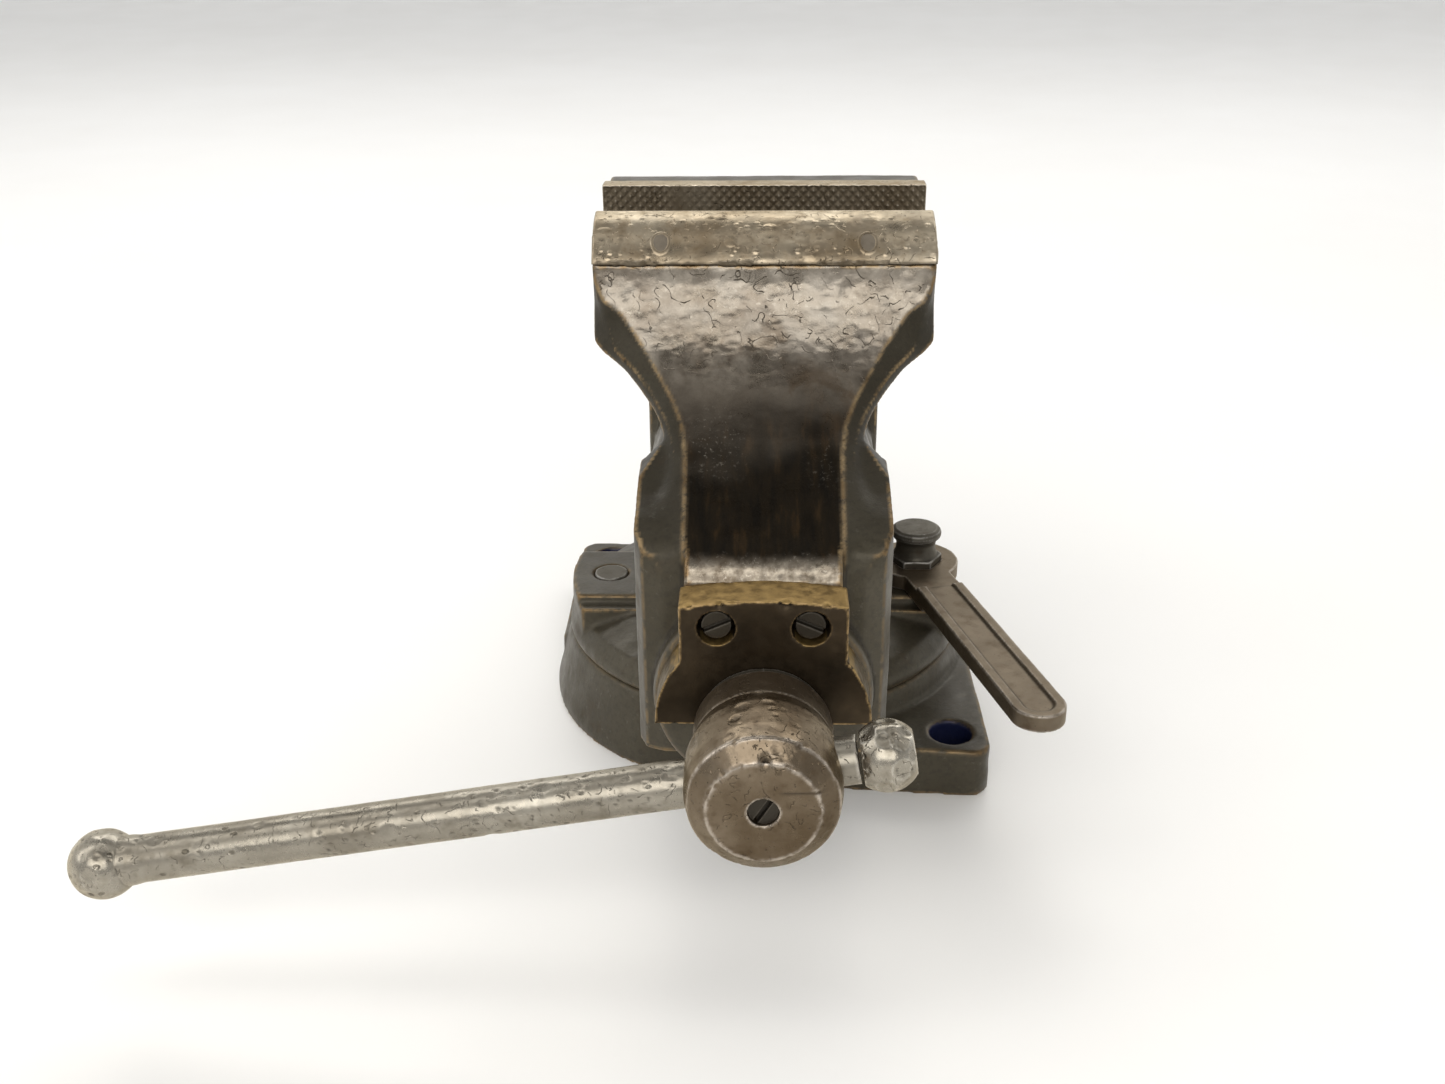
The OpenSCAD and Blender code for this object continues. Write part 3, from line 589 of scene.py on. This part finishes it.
def moving_jaw():
    """Jaw whose ramp is black low down with oil and painted shade, then beaten and rubbed bright up to the
    plate with painted glints.
    """
    skin = even_copy("moving_jaw", 0.8, 2)
    co = skin.co
    x, y, z = co.T
    front = fade(-y, 45, 52)
    crisp = 0.9 * fade(skin.bulge(1), 0.04, 0.10)
    skin.relax(fade(z, 105, 112) * front * (1 - crisp), 10)

    half = np.interp(z, *zip(*RAMP))
    between = 1 - fade(np.abs(x) - half, -0.5, 0.5)
    facing = fade(-skin.normal[:, 1] + 0.8 * skin.normal[:, 2], 0.5, 0.75)
    ramp = between * facing * fade(z, 102, 104.5) * front
    upper, lip = fade(z, 134, 148), 1 - fade(z, 106.5, 110)
    nose = fade(-y, 90, 94) * (1 - fade(z, 120, 126))
    split = hump(x, 0.5) * lip * ramp
    chips = spots(co, 3.2, 35, 0.5) * hump(np.abs(x) - half, 1.2) * front * fade(z, 106, 110)
    pits = spots(co, 4, 37, 0.25) * nose
    skin.push(ramp_relief(co, ramp, upper, lip) - 0.3 * split - 0.35 * chips - 0.15 * pits)

    k = mark_wear(skin, 0.05, 0.16)
    facing = fade(-skin.normal[:, 1] + skin.normal[:, 2], 0.3, 0.5)
    ridge = hump(np.abs(x) - half - 0.1, 0.55) * front * fade(z, 103, 106) * facing
    skin.write("edge", np.maximum(fade(k, 0.05, 0.16), ridge))
    skin.write("ramp", skin.blur(ramp, 1))
    skin.write("high", fade(z + 5 * smooth_noise(co, 14, 7), 134, 158))
    mottle = rough_noise(co, 3, 44)
    # The black low zone: old oil, and painted shade standing in for a dark reflection.
    oil_and_painted_shade = fade(z + 1.6 * mottle, 106.5, 110.5) * (1 - fade(z + 8 * rough_noise(co, 15, 8), 123, 146))
    skin.write("dark", skin.blur(ramp, 1) * oil_and_painted_shade)
    # Where to paint glints: a corner of the black zone, the lip and the upper ramp.
    corners = hump(x + 14, 7) * hump(z - 129, 5) + 0.4 * hump(x - 17, 4) * hump(z - 125, 4)
    foot = 1 - fade(z + 1.5 * mottle, 106, 111)
    skin.write("glint", ramp * np.maximum(0.35 * corners, 0.8 * foot + 0.45 * fade(z, 140, 156)))
    skin.write("shade", (1 - fade(skin.blur(ramp, 2), 0.1, 0.6)) * fade(z, 98, 114) * front)
    cloud = smooth_noise(co, 17, 5) * 0.5 + 0.5
    bare = ramp * upper * fade(cloud, 0.3, 0.9) * 0.5 + lip * ramp * 0.9
    skin.write("bare", bare * (0.4 + 0.6 * fade(k, -0.03, 0.04)))
    stand_in(skin.ob, "moving_jaw", IRON)


def plain_casting(node, voxel, rounds, seed):
    """Painted casting, kept true on the pads under the clamps and where the body turns on the base."""
    skin = even_copy(node, voxel, rounds)
    co = skin.co
    x, y, z = co.T
    true = (1 - fade(np.hypot(np.abs(x) - CLAMP_X, y - CLAMP_Y), 17, 20)) * fade(z, 39, 41)
    if node == "static_body":
        true = np.maximum(true, 1 - fade(z, 19.5, 22))
    waves = 0.2 * rough_noise(co, 22, seed) + 0.1 * rough_noise(co, 6, seed + 5)
    skin.push((waves - 0.25 * spots(co, 9, seed, 0.3)) * (1 - true) - 0.06 * true)
    mark_wear(skin)
    skin.write("shade", np.full(len(co), 0.3))
    if node == "swivel_base":
        side = np.sign(x)
        skin.write("blue", 1 - fade(np.hypot(x - side * HOLE_X, y + side * HOLE_Y), 6.9, 7.3))
    stand_in(skin.ob, node, IRON)


def tucked(node, skin):
    """1 where a small piece turns against another one, so that it is kept clear of it, and 0 elsewhere."""
    if node == "clamp_lever":
        return fade(-skin.normal[:, 2], 0.5, 0.8)
    if node == "clamp_bolt":
        return 1 - fade(skin.co[:, 2], 42, 44)
    return 0


def small_part(node, voxel, rounds, material, seed, rough=0.05):
    """Small piece as an even mesh, slightly uneven, with its wear written on it."""
    skin = even_copy(node, voxel, rounds)
    clear = tucked(node, skin)
    skin.push(rough * rough_noise(skin.co, 3, seed) * (1 - clear) - 0.03 * clear)
    mark_wear(skin, 0.08, 0.35)
    # Upward faces, read by the bronze as its golden top, which is partly painted light.
    skin.write("top", fade(skin.normal[:, 2], 0.4, 0.7))
    stand_in(skin.ob, node, material)


# ---------------------------------------------------------------- jaw plates

def serrations(x, z):
    """Height from 0 to 1 of the diagonal cross-hatch on a jaw face."""
    pitch = 2.2
    heights = [np.abs((across / math.sqrt(2) / pitch) % 1 - 0.5) * 2 for across in (x + z, x - z)]
    return np.minimum(*heights)


def jaw_bar(name, outline):
    """Bar across the jaws from its outline in Y and Z, with its ends rounded a little."""
    side = spaced([*outline, outline[0]], 0.33)[:-1]
    flat, rim = JAW_HALF - 0.6, JAW_HALF - 0.3
    xs = np.concatenate([[-JAW_HALF, -rim], np.linspace(-flat, flat, 400), [rim, JAW_HALF]])
    inset = np.interp(np.abs(xs), [flat, rim, JAW_HALF], [0, 0.08, 0.4])
    middle = side.mean(0)
    rings = []
    for x, cut in zip(xs, inset):
        pull = side - middle
        pull = side - pull / np.linalg.norm(pull, axis=1)[:, None] * cut
        rings.append(np.column_stack([np.full(len(side), x), pull]))
    return Skin(make_object(name, np.concatenate(rings), tube_faces(len(xs), len(side))))


def fixed_jaw_plate():
    y, back, low, top = FIXED_FACE_Y, FIXED_SEAT_Y, PLATE_BOTTOM, JAW_TOP
    outline = rounded([(y, low, 0.5), (back, low, 0.5), (back, top, 0.9), (y, top, 0.7)], 0.6, closed=True)
    skin = jaw_bar("fixed_jaw_plate_surface", outline)
    co = skin.co
    face = fade(-skin.normal[:, 1], 0.75, 0.95)
    worn = fade(rough_noise(co, 26, 8), 0.1, 0.45)
    teeth = serrations(co[:, 0], co[:, 2])
    depth = 0.62 * face * (1 - 0.8 * worn)
    clear = fade(co[:, 1], y + 0.2, y + 1.5)
    uneven = 0.05 * rough_noise(co, 5, 4) - 0.12 * spots(co, 3.4, 6, 0.35)
    skin.push(-depth * (1 - teeth) - 0.1 * (1 - clear) + clear * uneven)
    k = mark_wear(skin, 0.3, 1.1, 1)
    # Painted shade on the toothed face: darkest between the teeth, with the whole face darkened and the tips
    # least.
    skin.write("hollow", face * (1 - worn) * fade(1 - teeth, 0.45, 0.9))
    tips = face * fade(teeth, 0.6, 0.95) * (1 - worn)
    skin.write("edge", np.maximum(fade(k, 0.3, 1.0) * (1 - face), tips))
    skin.write("dark_marks_and_shade", face * (0.92 - 0.30 * fade(teeth, 0.7, 1.0)))
    stand_in(skin.ob, "fixed_jaw_plate", JAW)


def moving_jaw_plate():
    """Plate hooked over the jaw: its top bends down in one sweep from the gripping face to the seam."""
    y, top, low = MOVING_FACE_Y, MOVING_TOP, PLATE_BOTTOM - 5
    front, seam, seat = y - 19, SEAM_Z, y - 7.5
    bend = [
        (y - 25.5 * (1 - u) ** 2 * u - 46.5 * (1 - u) * u**2 - 19 * u**3,
         top - 0.9 * (1 - u) ** 2 * u - 16.5 * (1 - u) * u**2 - 11.7 * u**3, 0)
        for u in np.linspace(0.06, 0.98, 30)
    ]
    corners = [(y, low, 0.4), (y, top, 0.9), *bend, (front, seam, 0.4), (seat, seam, 0.3), (seat, low, 0.4)]
    outline = rounded(corners, 0.6, closed=True)[::-1]
    skin = jaw_bar("moving_jaw_plate_surface", outline)
    co = skin.co
    face = fade(skin.normal[:, 1], 0.75, 0.95) * fade(co[:, 1], y - 1.5, y - 0.5)
    teeth = serrations(co[:, 0], co[:, 2])
    away = np.hypot(np.abs(co[:, 0]) - PIN_X, co[:, 1] - PIN_Y)
    clear = fade(y - co[:, 1], 0.2, 1.5)
    free = (1 - face) * fade(away, PIN_R + 0.5, PIN_R + 2) * clear
    gap = hump(away - PIN_R - 0.15, 0.3) * (1 - face) * fade(co[:, 2], 172, 174)
    low_edge = 1 - fade(co[:, 2] + 0.5 * rough_noise(co, 2.2, 21), SEAM_Z + 0.1, SEAM_Z + 1)
    chipped = low_edge * fade(-co[:, 1], 53, 56) * (1 - face)
    waves = 0.12 * rough_noise(co, 11, 14) + 0.05 * rough_noise(co, 3, 15)
    dents = 0.30 * spots(co, 6.5, 12, 0.6) + 0.18 * spots(co, 2.4, 17, 0.5)
    chips = 0.6 * chipped * fade(rough_noise(co, 5, 18), -0.1, 0.3)
    skin.push(-0.62 * face * (1 - teeth) - 0.1 * (1 - clear) + free * (waves - dents) - 0.25 * gap - chips)
    k = mark_wear(skin, 0.15, 0.8, 1)
    grime, between_teeth = fade(-k, 0.2, 0.9), face * fade(1 - teeth, 0.45, 0.9)
    skin.write("hollow", np.maximum.reduce([0.7 * grime, 0.6 * gap, 0.9 * chipped, between_teeth]))
    skin.write("dark_marks_and_shade", 0.35 * fade(rough_noise(co, 9, 19), 0.1, 0.5) * (1 - face) * fade(co[:, 2], 174, 178))
    stand_in(skin.ob, "moving_jaw_plate", JAW)
    moving_jaw_pins(outline)


def moving_jaw_pins(outline):
    """Pins dressed flush with the round front of the plate."""
    tops = outline[(outline[:, 0] < PIN_Y + 8) & (outline[:, 1] > SEAM_Z + 0.5)]
    tops = tops[np.argsort(tops[:, 0])]
    around, low, rim_drop = 48, PLATE_BOTTOM + 0.5, 0.12
    radii = np.append(np.linspace(0.05, PIN_R - 0.25, 8), [PIN_R - 0.08, PIN_R, PIN_R])
    angle = np.linspace(0, 2 * math.pi, around, endpoint=False)
    points, faces = [], []
    for side in (-1, 1):
        faces += [f + len(points) * around for f in tube_faces(len(radii), around)]
        for j, radius in enumerate(radii):
            px, py = side * PIN_X + radius * np.cos(angle), PIN_Y + radius * np.sin(angle)
            pz = np.interp(py, tops[:, 0], tops[:, 1]) + 0.05
            if j == len(radii) - 2:
                pz = pz - rim_drop
            if j == len(radii) - 1:
                pz = np.full(around, low)
            points.append(np.column_stack([px, py, pz]))
    skin = Skin(make_object("moving_jaw_pins_surface", np.concatenate(points), faces))
    skin.push(-0.06 * spots(skin.co, 1.6, 19, 0.6))
    skin.write("edge", fade(skin.bulge(1), 0.3, 1.2))
    skin.write("dark_marks_and_shade", 0.25 * fade(smooth_noise(skin.co, 1.5, 20), 0, 0.6))
    stand_in(skin.ob, "moving_jaw_pins", PIN)


# ---------------------------------------------------------------- handle and screw

def round_bar(name, profile, step, around, place):
    """Turned piece from (distance along, radius) corners; place maps (along, across, up) to mm."""
    line = spaced(profile, step)
    angle = np.linspace(0, 2 * math.pi, around, endpoint=False)
    along = np.repeat(line[:, 0], around)
    r = np.repeat(np.maximum(line[:, 1], 0.02), around)
    a = np.tile(angle, len(line))
    local = np.column_stack([along, r * np.cos(a), r * np.sin(a)])
    return Skin(make_object(name, place(local), tube_faces(len(line), around)))


def on_handle(p):
    """Local points (along, across, up) placed on the handle's axis in the row frame."""
    c, s = math.cos(HANDLE_TILT), math.sin(HANDLE_TILT)
    along, across, up = p.T
    return np.column_stack([along * c - up * s, ROD_Y + across, AXIS_Z + along * s + up * c])


def ball_profile(centre, r, start, end, n=24):
    """Arc of a ball as (along, radius) points between two distances from its middle."""
    t = np.linspace(math.acos(np.clip(start / r, -1, 1)), math.acos(np.clip(end / r, -1, 1)), n)
    return [(centre + r * math.cos(a), r * math.sin(a)) for a in t]


def handle():
    """Bent and knocked rod with its long end's ball in one piece, and the loose ball at its short end."""
    reach = math.sqrt(BALL_R**2 - ROD_R**2)
    ball = ball_profile(-LONG_END, BALL_R, -BALL_R * 0.999, reach * 0.93)
    neck, end = -LONG_END + reach, SHORT_END - 7
    rod = [(neck + 1.6, ROD_R + 0.35), (neck + 4, ROD_R), (end, ROD_R), (end, 0.0)]
    skin = round_bar("handle_rod_surface", [(ball[0][0], 0.0), *ball, *rod], 0.55, 72, on_handle)
    co = skin.co
    long_ball = 1 - fade(co[:, 0], -172, -166)
    waves = 0.10 * rough_noise(co, 30, 41) + 0.05 * rough_noise(co, 7, 42) * (1 + 2 * long_ball)
    dents = spots(co, 6.5, 43, 0.45, 0.2, 0.5)
    pits = spots(co * [1, 1.5, 1.5], 2.6, 44, 0.5, 0.2, 0.45)
    many = fade(smooth_noise(co, 18, 45), -0.2, 0.4)
    knocks = 0.3 * spots(co, 4.2, 46, 0.8) * long_ball
    skin.push(waves - 0.38 * dents - 0.34 * pits * (0.4 + 0.6 * many) - knocks)
    mark_wear(skin, 0.05, 0.3)
    many = fade(smooth_noise(co, 18, 45), -0.2, 0.4)
    stain = (0.16 + 0.14 * fade(co[:, 0], 10, 25)) * (1 - long_ball)
    skin.write("dark_marks_and_shade", np.maximum(fade(pits, 0.35, 0.8) * many * 0.8, stain))
    stand_in(skin.ob, "handle_rod", BRIGHT)

    ball = ball_profile(SHORT_END, BALL_R, -BALL_R * 0.66, 7.4)
    end = SHORT_END + 7.5
    flat = [(end, 4.4), (end, 0.0)]
    skin = round_bar("handle_ball_surface", [(ball[0][0], 0.0), *ball, *flat], 0.4, 96, on_handle)
    co = skin.co
    facets = spots(co, 5.5, 52, 0.9, 0.3, 0.6)
    skin.push(0.25 * rough_noise(co, 6, 51) - 0.75 * facets - 0.2 * spots(co, 2, 53, 0.6))
    mark_wear(skin, 0.05, 0.3)
    skin.write("dark_marks_and_shade", fade(spots(co, 2, 53, 0.6), 0.4, 0.9) * 0.6)
    stand_in(skin.ob, "handle_ball", BRIGHT)


def screw():
    """Head with rubbed rims, a dark line round its collar and a notch, and the thread behind it."""
    skin = even_copy("spindle", 0.42, 1)
    co = skin.co
    x, y, z = co[:, 0], co[:, 1], co[:, 2] - AXIS_Z
    r = np.hypot(x, z)
    head = 1 - fade(y, HEAD_BACK_Y - 1, HEAD_BACK_Y + 1)
    face = 1 - fade(y, HEAD_FRONT_Y + 0.4, HEAD_FRONT_Y + 1.2)
    line = hump(y - COLLAR_LINE_Y + 0.25 * smooth_noise(co, 7, 64), 0.35) * fade(r, 15, 17)
    burr = spots(co, 6, 62, 0.35, 0.2, 0.4)
    notch = hump(x - 0.5, 1.3) * hump(z - 14.6, 1.6) * hump(y - HEAD_FRONT_Y - 0.5, 2.2)
    scratch = hump(z - 5.6 - 0.04 * (x - 6), 0.28) * fade(x, 3, 6) * face
    rims = hump(r - HEAD_FACE_R, 0.8) * hump(y - HEAD_FRONT_Y, 0.9)
    rims = rims + hump(r - HEAD_SHOULDER_R, 0.8) * hump(y - HEAD_SHOULDER_Y, 0.9)
    worn_rims = rims * fade(rough_noise(co, 4, 66), 0.1, 0.5)
    turn = (y / LEAD - np.arctan2(x, z) / (2 * math.pi)) % 1
    valley = fade(np.abs(turn - 0.5), 0.20, 0.30)
    threaded = fade(r, THREAD_R - 0.6, THREAD_R - 0.2) * (1 - fade(r, THREAD_R + 0.3, THREAD_R + 0.7))
    threaded = threaded * fade(y, -116, -113) * (1 - fade(y, 113, 114.5))
    uneven = 0.09 * rough_noise(co, 9, 61) - 0.3 * line - 0.30 * burr - 0.12 * spots(co, 2.4, 63, 0.4)
    skin.push(head * uneven - 1.3 * notch - 0.22 * scratch - 0.2 * worn_rims - 1.7 * valley * threaded)

    k = mark_wear(skin, 0.06, 0.3)
    skin.write("edge", np.maximum(fade(k, 0.06, 0.3), rims * fade(k, 0.0, 0.12)) * (1 - line))
    grime = fade(-k, 0.08, 0.3) * (1 - threaded)
    skin.write("hollow", np.maximum.reduce([grime, line * 0.9, 0.8 * scratch, 0.6 * fade(burr, 0.6, 1)]))
    collar = fade(y, COLLAR_LINE_Y - 1.4, COLLAR_LINE_Y + 1.6) * (1 - fade(y, HEAD_BACK_Y, HEAD_BACK_Y + 2))
    cloudy = fade(rough_noise(co, 9, 68), 0.15, 0.5) * fade(y, HEAD_SHOULDER_Y, HEAD_SHOULDER_Y + 3) * head
    skin.write("dark_marks_and_shade", np.maximum(fade(burr, 0.5, 0.9) * 0.5, 0.45 * collar + 0.35 * cloudy))
    stand_in(skin.ob, "spindle", HEAD)


def thrust_plate():
    """Bronze plate with nicks along its top front edge."""
    skin = even_copy("thrust_plate", 0.4, 2)
    co = skin.co
    x, y, z = co.T
    top_edge = hump(y - THRUST_FRONT_Y, 1.4) * hump(z - THRUST_TOP, 1.6)
    nicks = sum(hump(x - at, wide) for at, wide in ((-11.5, 1.1), (5.8, 1.4), (16.5, 0.7), (-19.5, 0.8)))
    rim = fade(skin.bulge(3), 0.08, 0.2)
    waves = 0.10 * rough_noise(co, 8, 91) + 0.05 * rough_noise(co, 2.5, 92)
    dents = 0.25 * spots(co, 3.5, 93, 0.6) * rim + 0.10 * spots(co, 5, 94, 0.5)
    skin.push(waves - 1.0 * nicks * top_edge - dents)
    k = mark_wear(skin, 0.08, 0.35)
    bores = 1 - fade(np.hypot(np.abs(x) - THRUST_SCREW_X, z - THRUST_SCREW_Z), 6, 7)
    skin.write("edge", fade(k, 0.08, 0.35) * (1 - 0.75 * bores))
    # Upward faces, read by the bronze as its golden top, which is partly painted light.
    skin.write("top", fade(skin.normal[:, 2], 0.4, 0.7))
    stand_in(skin.ob, "thrust_plate", BRONZE)


# ---------------------------------------------------------------- build

moving_jaw()
plain_casting("static_body", 0.9, 4, 71)
plain_casting("swivel_base", 0.9, 4, 81)
fixed_jaw_plate()
moving_jaw_plate()
handle()
screw()
thrust_plate()
small_part("thrust_plate_screws", 0.22, 1, SCREW, 92, 0.03)
small_part("clamp_lever", 0.4, 3, LEVER, 93, 0.08)
small_part("clamp_bolt", 0.35, 2, DARK, 94, 0.06)
small_part("fixed_clamp_stud", 0.5, 1, DARK, 95, 0.05)
small_part("fixed_jaw_pins", 0.3, 1, BRIGHT, 97, 0.02)
small_part("detent_screw", 0.2, 1, SCREW, 98, 0.02)
small_part("thrust_washer", 0.5, 1, DARK, 99, 0.03)
small_part("spindle_nut", 0.6, 2, BRONZE, 100, 0.05)
small_part("nut_bolts", 0.4, 1, DARK, 101, 0.03)
small_part("fixed_clamp_washer", 0.5, 1, DARK, 102, 0.03)
small_part("clamp_shoe", 0.5, 1, DARK, 103, 0.0)
small_part("end_washer", 0.4, 1, BRIGHT, 104, 0.03)
small_part("end_pin", 0.3, 1, BRIGHT, 105, 0.02)
small_part("detent_plug", 0.2, 1, BRONZE, 106, 0.01)
small_part("detent_spring", 0.12, 1, BRIGHT, 107, 0.005)


# ---------------------------------------------------------------- stage, light and camera

def floor():
    p = Paint("pale_table")
    colour = p.ramp(p.noise(400, 3, 0.5), (0.3, (0.90, 0.893, 0.875)), (0.7, (0.94, 0.936, 0.922)))
    material = p.finish(colour, 0.0, p.step(p.noise(60, 3, 0.5), 0.3, 0.7, 0.35, 0.45))
    side, front, back = 4000, -2000, 6000
    corners = [(-side, front, 0), (side, front, 0), (side, back, 0), (-side, back, 0)]
    ob = make_object("table", corners, [(0, 1, 2, 3)])
    ob.data.materials.append(material)


def lamp(name, size, power, place, target, colour=(1, 1, 1)):
    data = bpy.data.lights.new(name, "AREA")
    data.shape, data.size, data.size_y = "RECTANGLE", size[0], size[1]
    data.energy, data.color = power, colour
    ob = bpy.data.objects.new(name, data)
    bpy.context.scene.collection.objects.link(ob)
    ob.location = place
    ob.rotation_euler = (Vector(target) - Vector(place)).to_track_quat("-Z", "Y").to_euler()
    return ob


def studio():
    scene = bpy.context.scene
    scene.view_settings.view_transform = "Standard"
    world = bpy.data.worlds.new("room")
    world.use_nodes = True
    tree = world.node_tree
    place = tree.nodes.new("ShaderNodeTexCoord")
    axes = tree.nodes.new("ShaderNodeSeparateXYZ")
    tree.links.new(place.outputs["Generated"], axes.inputs[0])

    def slope(axis, *values):
        """Brightness that changes evenly along one axis of the room."""
        n = tree.nodes.new("ShaderNodeMapRange")
        tree.links.new(axes.outputs[axis], n.inputs["Value"])
        for key, v in zip(("From Min", "From Max", "To Min", "To Max"), values):
            n.inputs[key].default_value = v
        return n.outputs["Result"]

    # Bright wall behind the vise, a greyer room in front of it and a dim ceiling.
    both = tree.nodes.new("ShaderNodeMath")
    both.operation = "MULTIPLY"
    tree.links.new(slope("Y", -0.6, 0.6, 0.60, 1.0), both.inputs[0])
    tree.links.new(slope("Z", 0.45, 0.85, 1.0, 0.15), both.inputs[1])
    tree.nodes["Background"].inputs["Color"].default_value = (0.95, 0.95, 0.945, 1)
    tree.links.new(both.outputs[0], tree.nodes["Background"].inputs["Strength"])
    scene.world = world
    lamp("front", (2.2, 1.2), 24, (-0.2, -1.7, 1.25), (0, -0.05, 0.1), (1, 0.975, 0.935))
    lamp("overhead", (2.4, 0.5), 4, (0.0, -0.1, 1.5), (0, -0.05, 0.05), (1, 0.98, 0.945))
    wide = lamp("wide", (6.0, 4.0), 34, (0.0, 2.6, 3.0), (0, 2.6, 0))
    wide.visible_glossy = False
    lamp("behind", (2.4, 0.5), 11, (0.0, 1.1, 1.25), (0, 0, 0.1), (1, 0.99, 0.97))
    lamp("left", (0.7, 1.4), 5, (-1.3, -0.3, 1.1), (0, -0.05, 0.1), (1, 0.98, 0.95))


def camera():
    data = bpy.data.cameras.new("camera")
    data.sensor_width, data.lens = 36.0, 37.79
    data.clip_start = 0.01
    ob = bpy.data.objects.new("camera", data)
    bpy.context.scene.collection.objects.link(ob)
    yaw, pitch, roll = math.radians(1.52), math.radians(24.9), math.radians(-0.48)
    aim = Matrix.Rotation(yaw, 4, "Z") @ Matrix.Rotation(math.pi / 2 - pitch, 4, "X")
    ob.matrix_world = Matrix.Translation((-0.00125, -0.495, 0.284)) @ aim @ Matrix.Rotation(roll, 4, "Z")
    bpy.context.scene.camera = ob


floor()
studio()
camera()
